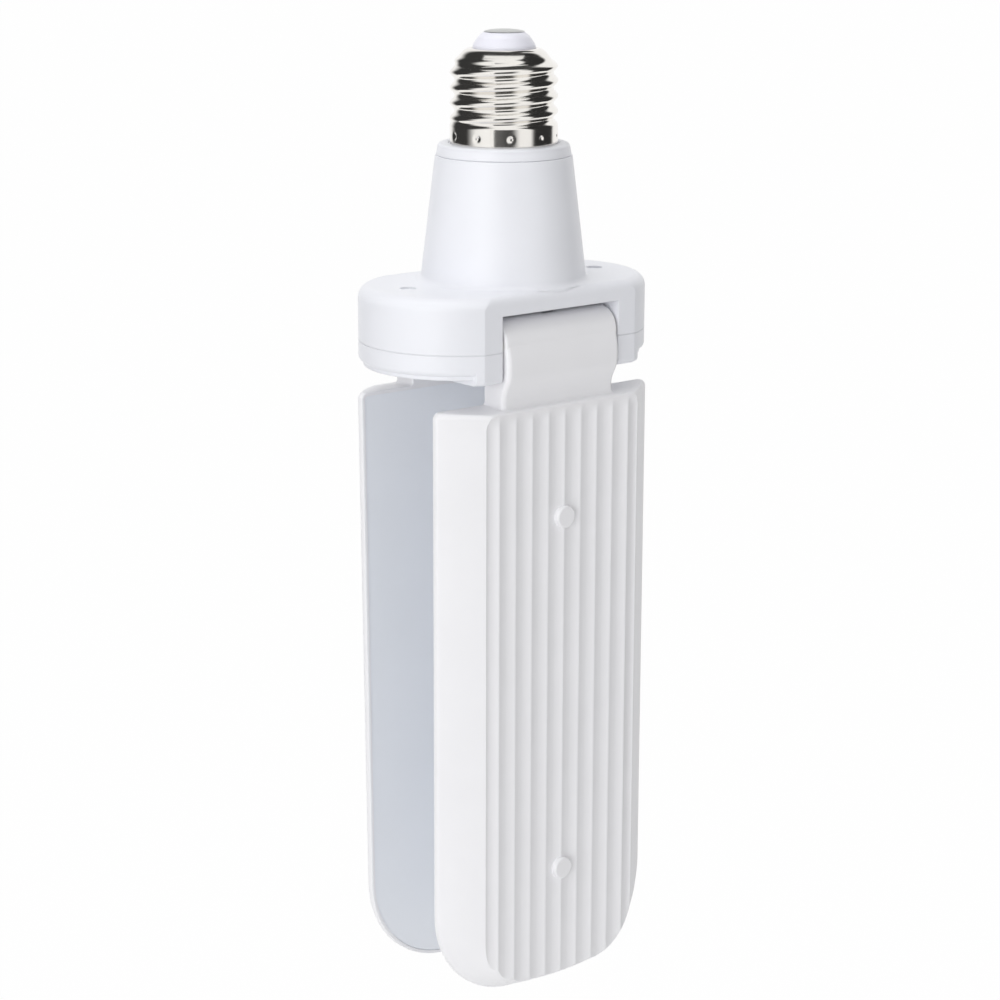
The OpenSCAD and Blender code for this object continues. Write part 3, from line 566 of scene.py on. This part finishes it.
LENS_SIZES = (LENS_HALF, LEAF_TOP, LEAF_FOOT, LENS_CORNER)
BACK_SIZES = (BACK_HALF, BACK_TOP, BACK_FOOT, BACK_CORNER)
combine(leaf, "DIFFERENCE", cutter)
bosses = [rod_solid(BOSS_R, (0, BOSS_TOP, z), (0, BOARD_SEAT_Y + 0.5, z), round_over=0.5) for z in BOSS_Z]
combine(leaf, "UNION", arm, barrel, *bosses)
combine(
    leaf, "DIFFERENCE",
    lofted([inset_ring(LENS_Y + PAST, LENS_SIZES, RIM_W), inset_ring(SEAT_Y, LENS_SIZES, RIM_W)]),
    lofted([
        inset_ring(SEAT_Y + 0.2, LENS_SIZES, RIM_W + WALL), inset_ring(BOARD_SEAT_Y, BACK_SIZES, WALL),
    ]),
    rod_solid(BORE_R, (-ARM_HALF - PAST, 0, 0), (-BORE_X, 0, 0)),
    rod_solid(BORE_R, (BORE_X, 0, 0), (ARM_HALF + PAST, 0, 0)),
    box_solid((-WINDOW_X, -CHANNEL_R, CHANNEL_FOOT), (WINDOW_X, CHANNEL_R, CHANNEL_TOP)),
    box_solid((-WINDOW_X, -CHANNEL_R, -CHANNEL_R), (WINDOW_X, BARREL_R + PAST, BARREL_R + PAST)),
)
print("leaf", len(leaf.data.polygons), "faces")

# %% [markdown]
# The lens is a milky plate that sits just below the rim, with a softly rounded edge.

# %% Lens
LENS_TOP_Y = LENS_Y - 0.15
LENS_GAP = 0.02
lens = new_object("lens_plate", lofted([
    inset_ring(SEAT_Y + 0.02, LENS_SIZES, RIM_W + LENS_GAP),
    inset_ring(LENS_TOP_Y - 0.15, LENS_SIZES, RIM_W + LENS_GAP),
    inset_ring(LENS_TOP_Y - 0.04, LENS_SIZES, RIM_W + LENS_GAP + 0.04),
    inset_ring(LENS_TOP_Y, LENS_SIZES, RIM_W + LENS_GAP + 0.15),
]))

# %% [markdown]
# Each leaf and lens is now placed on both sides: the front pair is moved to its hinge, and the rear pair
# is also turned half round and leans in by about one degree, as in the photograph.

# %% Place the leaves
REAR_LEAN = math.radians(1.1)
PLACES = {
    "front": Matrix.Translation(hinge["front_leaf_hinge"]),
    "rear": Matrix.Translation(hinge["rear_leaf_hinge"])
    @ Matrix.Rotation(math.pi, 4, "Z")
    @ Matrix.Rotation(REAR_LEAN, 4, "X"),
}
PAIR = {"leaf_shell": (leaf, "leaf_plastic"), "diffuser": (lens, "lens")}
for side, place in PLACES.items():
    for node, (source, slot) in PAIR.items():
        mesh = source.data.copy()
        mesh.transform(place)
        piece = bpy.data.objects.new(f"{side}_moulded_{node}", mesh)
        bpy.context.collection.objects.link(piece)
        finish_mesh(piece)
        weights = piece.modifiers.new("flat faces stay flat", "WEIGHTED_NORMAL")
        weights.keep_sharp = True
        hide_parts(f"{side}_{node}")
        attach(piece, f"{side}_leaf")
for source in (leaf, lens):
    bpy.data.objects.remove(source)

# %% [markdown]
# ## Finishes
# Every finish is made of nodes. A small class wraps a socket, so that sums on its values can be written
# as plain Python, and one method makes any other node.

# %% Node helpers
class Value:
    """A node's output, which can be used in sums."""

    def __init__(self, tree, socket):
        self.tree = tree
        self.socket = socket

    def math(self, operation, first, second):
        node = self.tree.nodes.new("ShaderNodeMath")
        node.operation = operation
        for slot, item in zip(node.inputs, (first, second)):
            if isinstance(item, Value):
                self.tree.links.new(item.socket, slot)
            else:
                slot.default_value = item
        return Value(self.tree, node.outputs[0])

    def __add__(self, other):
        return self.math("ADD", self, other)

    def __radd__(self, other):
        return self.math("ADD", other, self)

    def __sub__(self, other):
        return self.math("SUBTRACT", self, other)

    def __rsub__(self, other):
        return self.math("SUBTRACT", other, self)

    def __mul__(self, other):
        return self.math("MULTIPLY", self, other)

    def __rmul__(self, other):
        return self.math("MULTIPLY", other, self)


class Finish:
    """A material whose look is built up on one Principled shader."""

    def __init__(self, name, colour, **constants):
        self.material = bpy.data.materials.new(name)
        self.material.use_nodes = True
        self.tree = self.material.node_tree
        self.shader = self.tree.nodes["Principled BSDF"]
        self.place = self.add("TexCoord", out="Object")
        for socket, value in constants.items():
            self.shader.inputs[socket.replace("_", " ").title()].default_value = value
        self.material.diffuse_color = (*colour, 1)

    def add(self, kind, settings=None, inputs=None, out=0):
        node = self.tree.nodes.new("ShaderNode" + kind)
        for key, value in (settings or {}).items():
            setattr(node, key, value)
        for key, value in (inputs or {}).items():
            if isinstance(value, Value):
                self.tree.links.new(value.socket, node.inputs[key])
            else:
                node.inputs[key].default_value = value
        return Value(self.tree, node.outputs[out])

    def drive(self, socket, value):
        self.tree.links.new(value.socket, self.shader.inputs[socket])

    def noise(self, scale, detail, stretch=(1, 1, 1)):
        place = self.add("Mapping", inputs={"Vector": self.place, "Scale": stretch})
        return self.add("TexNoise", inputs={"Vector": place, "Scale": scale, "Detail": detail})

    def blend(self, factor, first, second):
        node = self.tree.nodes.new("ShaderNodeMix")
        node.data_type = "RGBA"
        node.clamp_factor = True
        for key, value in ((0, factor), (6, first), (7, second)):
            if isinstance(value, Value):
                self.tree.links.new(value.socket, node.inputs[key])
            else:
                node.inputs[key].default_value = (*value, 1) if key else value
        return Value(self.tree, node.outputs[2])

    def bump(self, height, strength, distance, soft=0.0):
        inputs = {"Height": height, "Strength": strength, "Distance": distance * MM}
        if soft:
            inputs["Normal"] = self.add("Bevel", {"samples": 8}, {"Radius": soft * MM})
        return self.add("Bump", inputs=inputs)

    def base(self, low, high, rough, rough_range, bump, scale, soft=0.0):
        """The ground of a finish: a drifting shade and gloss, a fine grain and soft edges."""
        drift = self.noise(scale, 4)
        grain = self.noise(scale * 14, 2)
        ground = self.blend(drift, low, high)
        gloss = rough + (drift - 0.5) * rough_range + (grain - 0.5) * rough_range
        self.drive("Base Color", ground)
        self.drive("Roughness", gloss)
        self.drive("Normal", self.bump(grain, 0.3, bump, soft))
        return ground


def shade(colour, factor):
    return tuple(min(part * factor, 1) for part in colour)


# %% [markdown]
# The slots of the record name each finish. Plastics differ in tint and gloss, and what is wound, printed
# or plated gets its own pattern below. The housing and its cover have the white of their slot, and their
# edges are shaded as if rounded by half a millimetre.

# %% Plain finishes
WHITE = ((0.85, 0.86, 0.905), 0.36, 0.10, 0.012, 90)
PLAIN = {
    # slot: (colour, roughness, its range, grain in millimetres, scale)
    "white_plastic": WHITE,
    "housing_plastic": WHITE,
    "leaf_plastic": ((0.885, 0.883, 0.905), 0.42, 0.10, 0.012, 90),
    "lens": ((0.872, 0.897, 0.943), 0.34, 0.06, 0.004, 60),
    "insulator": ((0.87, 0.87, 0.95), 0.30, 0.10, 0.01, 240),
    "light_board": ((0.86, 0.87, 0.86), 0.34, 0.08, 0.004, 120),
    "black_part": ((0.025, 0.025, 0.028), 0.45, 0.12, 0.02, 300),
    "washer": ((0.78, 0.77, 0.73), 0.62, 0.16, 0.03, 400),
    "red_wire": ((0.55, 0.03, 0.025), 0.38, 0.10, 0.01, 300),
    "blue_wire": ((0.03, 0.12, 0.5), 0.38, 0.10, 0.01, 300),
    "chip": ((0.80, 0.66, 0.24), 0.30, 0.10, 0.01, 400),
    "film": ((0.72, 0.50, 0.10), 0.40, 0.10, 0.02, 240),
    "ferrite": ((0.05, 0.05, 0.052), 0.66, 0.14, 0.05, 500),
}
SOFT_EDGES = {"housing_plastic": 0.5}
finishes = {}
for name, (colour, rough, rough_range, bump, scale) in PLAIN.items():
    finish = Finish(name, colour)
    low, high = shade(colour, 0.975), shade(colour, 1.015)
    finish.base(low, high, rough, rough_range, bump, scale, SOFT_EDGES.get(name, 0))
    finishes[name] = finish
print("plain finishes:", ", ".join(finishes))

# %% [markdown]
# Metals: the cap is nickel-plated sheet that keeps fine drawing marks round it, the contact is duller
# tinned metal, and the screws and pins are zinc-plated steel.

# %% Metal finishes
METALS = {
    "cap_metal": ((0.88, 0.855, 0.815), 0.13, 0.05, 0.003, 120),
    "contact": ((0.9, 0.91, 0.9), 0.52, 0.12, 0.02, 400),
    "steel": ((0.55, 0.55, 0.56), 0.32, 0.12, 0.02, 300),
}
for name, (colour, rough, rough_range, bump, scale) in METALS.items():
    finish = Finish(name, colour, metallic=1.0)
    drift = finish.noise(scale, 4)
    marks = finish.noise(scale * 6, 3, stretch=(0.25, 0.25, 6))
    finish.drive("Base Color", finish.blend(drift, shade(colour, 0.9), shade(colour, 1.06)))
    finish.drive("Roughness", rough + (marks - 0.5) * rough_range)
    finish.drive("Normal", finish.bump(marks, 0.35, bump))
    finishes[name] = finish

# %% [markdown]
# Inner parts: a board with faint tracks, a sleeved capacitor with a pale stripe, a resistor with rings,
# and windings of tape and enamelled wire. The tracks and bands take over the colour of the ground, and
# the bands its bump too.

# %% Patterned finishes
board = Finish("board", (0.02, 0.17, 0.08))
tracks = board.add(
    "TexBrick", inputs={"Vector": board.place, "Scale": 420, "Mortar Size": 0.03}, out="Fac"
)
ground = board.base((0.016, 0.15, 0.07), (0.02, 0.19, 0.09), 0.35, 0.1, 0.01, 200)
board.drive("Base Color", board.blend(tracks, ground, (0.05, 0.26, 0.13)))
finishes["board"] = board

STRIPES = {
    # slot: (ground, colour of the bands, their scale, their axis, roughness)
    "can": ((0.02, 0.03, 0.12), (0.55, 0.58, 0.62), 70, "X", 0.36),
    "resistor": ((0.35, 0.55, 0.66), (0.35, 0.14, 0.05), 130, "Z", 0.4),
    "tape": ((0.70, 0.58, 0.20), (0.55, 0.44, 0.12), 260, "Z", 0.35),
    "copper": ((0.50, 0.20, 0.07), (0.26, 0.09, 0.03), 700, "Y", 0.3),
}
for name, (ground, mark, scale, axis, rough) in STRIPES.items():
    finish = Finish(name, ground)
    finish.base(shade(ground, 0.95), shade(ground, 1.05), rough, 0.1, 0.02, 240)
    bands = finish.add("TexWave", {"bands_direction": axis}, {"Vector": finish.place, "Scale": scale})
    edge = finish.add("MapRange", inputs={"Value": bands, "From Min": 0.55, "From Max": 0.7})
    finish.drive("Base Color", finish.blend(edge, ground, mark))
    finish.drive("Normal", finish.bump(bands, 0.4, 0.05))
    finishes[name] = finish
print("finishes:", len(finishes))

# %% [markdown]
# The record says which slot each node takes. A node that stays in view gets the finish in its own
# material slots, and a new piece gets the finish of the slot it was given above.

# %% Dress the nodes and pieces
PIECE_SLOTS = {
    "rolled_screw_shell": "cap_metal", "insulator_nose": "insulator", "domed_contact": "contact",
    "collar_ring": "white_plastic", "seam_liner": "white_plastic",
    "front_moulded_leaf_shell": "leaf_plastic", "rear_moulded_leaf_shell": "leaf_plastic",
    "front_moulded_diffuser": "lens", "rear_moulded_diffuser": "lens",
}
NODE_SLOTS = {part["node"]: part["material_slot"] for part in frame["record"]["subparts"]}
SOFT_NODES = {"upper_housing": "housing_plastic", "lower_cover": "housing_plastic"}
for name, slot in {**NODE_SLOTS, **SOFT_NODES, **PIECE_SLOTS}.items():
    mesh = bpy.data.objects[name].data
    if not mesh.materials:
        mesh.materials.append(None)
    for index in range(len(mesh.materials)):
        mesh.materials[index] = finishes[slot].material
print("dressed", len(NODE_SLOTS), "nodes and", len(PIECE_SLOTS), "pieces")

# %% [markdown]
# ## The studio
# The lamp hangs, so the floor is well below it. The world is an even pale grey that gives the fill light,
# and the camera and mirror-like surfaces see it as white. A large soft lamp at the left, level with the
# cap, makes the left sides brighter than the fluted faces. A second one lights the head's top from above.

# %% Floor and world
FLOOR_Z = -0.55
FLOOR_SHARE = 0.985  # the rest of what is seen of the floor keeps the lamp's shadow
floor_bm = bmesh.new()
bmesh.ops.create_grid(floor_bm, x_segments=1, y_segments=1, size=30)
bmesh.ops.translate(floor_bm, vec=(0, 0, FLOOR_Z), verts=floor_bm.verts)
floor = new_object("floor", floor_bm)


def seen_directly(tree):
    """1 where a camera, mirror or clear surface sees this, and 0 where it only gives light."""
    path = tree.nodes.new("ShaderNodeLightPath")
    seen, glossy, through = (
        Value(tree, path.outputs[f"Is {kind} Ray"]) for kind in ("Camera", "Glossy", "Transmission")
    )
    return seen.math("MAXIMUM", seen, seen.math("MAXIMUM", glossy, through))


def seen_white(tree, surface, share):
    """Mixes white light of strength 1 into what is seen directly, by the given share."""
    white = tree.nodes.new("ShaderNodeEmission")
    white.inputs["Color"].default_value = (1, 1, 1, 1)
    white.inputs["Strength"].default_value = 1
    mix = tree.nodes.new("ShaderNodeMixShader")
    tree.links.new((seen_directly(tree) * share).socket, mix.inputs[0])
    tree.links.new(surface, mix.inputs[1])
    tree.links.new(white.outputs[0], mix.inputs[2])
    return mix.outputs[0]


paper = Finish("floor_paper", (0.8, 0.8, 0.8))
paper.base((0.79, 0.79, 0.79), (0.81, 0.81, 0.81), 0.8, 0.05, 0.01, 4)
output = paper.tree.nodes["Material Output"]
paper.tree.links.new(seen_white(paper.tree, paper.shader.outputs[0], FLOOR_SHARE), output.inputs[0])
floor.data.materials.append(paper.material)

WORLD_LIGHT = 0.585
world = bpy.data.worlds.new("studio")
world.use_nodes = True
tree = world.node_tree
fill = tree.nodes["Background"]
fill.inputs["Color"].default_value = (1, 1, 1, 1)
fill.inputs["Strength"].default_value = WORLD_LIGHT
tree.links.new(seen_white(tree, fill.outputs[0], 1), tree.nodes["World Output"].inputs[0])
bpy.context.scene.world = world

# %% [markdown]
# Bright metal shows the room. Dark cards stand round the lamp and one hangs above it, and only
# mirror-like surfaces see them. They give the plated cap its dark bands. A card glows with its own even
# tone, and fades to the white of the room at its edges, so that the bands on the metal are soft too.

# %% Dark cards
CARD_R = 0.95
CARD_STEPS = 24
CARD_FADE = 0.12
ARC_SAFE = 0.9999  # keeps what goes into the arc cosine under 1
CARDS = {
    # name: (middle, half width, fade, spread, low, high, tone), angles in degrees to the right of the
    # camera, with the spread as the half width's growth for each metre above the lamp
    "left_card": (-105, 47, 28, 22, -0.9, 1.7, 0.04),
    "right_card": (94, 37, 12, 10, -0.9, 1.7, 0.03),
    "camera_card": (-1, 38, 22, 0, -1.2, 0.62, 0.07),
}
CEILING_R = 1.3
CEILING_Z = 1.7
CEILING_BACK = 1.0
CEILING_TONE = 0.06


def faded(finish, tone, *edges):
    """Gives a card its glow: the tone in its middle, and white where one of the edge values nears 1."""
    edge, *others = edges
    for other in others:
        edge = edge.math("MAXIMUM", edge, other)
    finish.drive("Emission Color", finish.blend(edge, (tone,) * 3, (1, 1, 1)))
    finish.shader.inputs["Emission Strength"].default_value = 1
    finish.shader.inputs["Specular IOR Level"].default_value = 0
    finish.shader.inputs["Base Color"].default_value = (0, 0, 0, 1)


def rising(finish, value, low, high):
    inputs = {"Value": value, "From Min": low, "From Max": high}
    return finish.add("MapRange", {"interpolation_type": "SMOOTHSTEP"}, inputs)


def hang_card(name, bm, finish):
    card = new_object(name, bm)
    for ray in ("camera", "diffuse", "shadow", "transmission"):
        setattr(card, "visible_" + ray, False)
    card.data.materials.append(finish.material)


for name, (middle, half, fade, spread, low, high, tone) in CARDS.items():
    card_bm = bmesh.new()
    centre = math.radians(middle - 90) + AZIMUTH
    half, fade, spread = math.radians(half), math.radians(fade), math.radians(spread)
    widest = half + spread * high
    x, y = CARD_R * math.cos(centre - widest), CARD_R * math.sin(centre - widest)
    ends = [card_bm.verts.new((x, y, z)) for z in (low, high)]
    side = card_bm.edges.new(ends)
    bmesh.ops.spin(
        card_bm, geom=[side], axis=UP, cent=(0, 0, 0), angle=2 * widest, steps=CARD_STEPS, use_merge=False,
        use_duplicate=False,
    )
    glow = Finish(name + "_glow", (tone, tone, tone))
    along = glow.add(
        "VectorMath", {"operation": "DOT_PRODUCT"},
        {0: glow.place, 1: (math.cos(centre) / CARD_R, math.sin(centre) / CARD_R, 0)}, out="Value",
    )
    angle = along.math("ARCCOSINE", along * ARC_SAFE, 0)
    height = glow.add("SeparateXYZ", inputs={"Vector": glow.place}, out="Z")
    edges = [rising(glow, angle - spread * height.math("MAXIMUM", height, 0), half - fade, half)]
    if high < CEILING_Z:
        edges.append(rising(glow, height, high - 2 * CARD_FADE, high))
    faded(glow, tone, *edges)
    hang_card(name, card_bm, glow)

ceiling_bm = bmesh.new()
bmesh.ops.create_circle(ceiling_bm, cap_ends=True, segments=48, radius=CEILING_R)
ceiling = Vector((-math.sin(AZIMUTH) * CEILING_BACK, math.cos(AZIMUTH) * CEILING_BACK, CEILING_Z))
bmesh.ops.translate(ceiling_bm, vec=ceiling, verts=ceiling_bm.verts)
glow = Finish("ceiling_glow", (CEILING_TONE,) * 3)
across = glow.add("VectorMath", {"operation": "DISTANCE"}, {0: glow.place, 1: ceiling}, out="Value")
faded(glow, CEILING_TONE, rising(glow, across, CEILING_R - CARD_FADE, CEILING_R))
hang_card("ceiling_card", ceiling_bm, glow)
print("cards:", ", ".join(CARDS), "and the ceiling")

# %% Lamps
LAMPS = {
    # name: (place, aim, size in metres, watts)
    "key_lamp": ((-1.69, -0.79, 0.13), (0, 0, -0.08), 1.4, 13.9),
    "top_lamp": ((-0.2, 0.2, 1.5), (0, 0, -0.08), 1.2, 9.2),
}
for name, (place, aim, size, watts) in LAMPS.items():
    data = bpy.data.lights.new(name, "AREA")
    data.shape = "DISK"
    data.size = size
    data.energy = watts
    lamp = bpy.data.objects.new(name, data)
    bpy.context.collection.objects.link(lamp)
    direction = Vector(aim) - Vector(place)
    lamp.visible_glossy = name == "key_lamp"  # the top lamp isn't mirrored
    lamp.matrix_world = Matrix.Translation(place) @ direction.to_track_quat("-Z", "Y").to_matrix().to_4x4()

view = bpy.context.scene.view_settings
view.view_transform = "Standard"
print("lamps:", ", ".join(LAMPS))


bpy.context.view_layer.update()
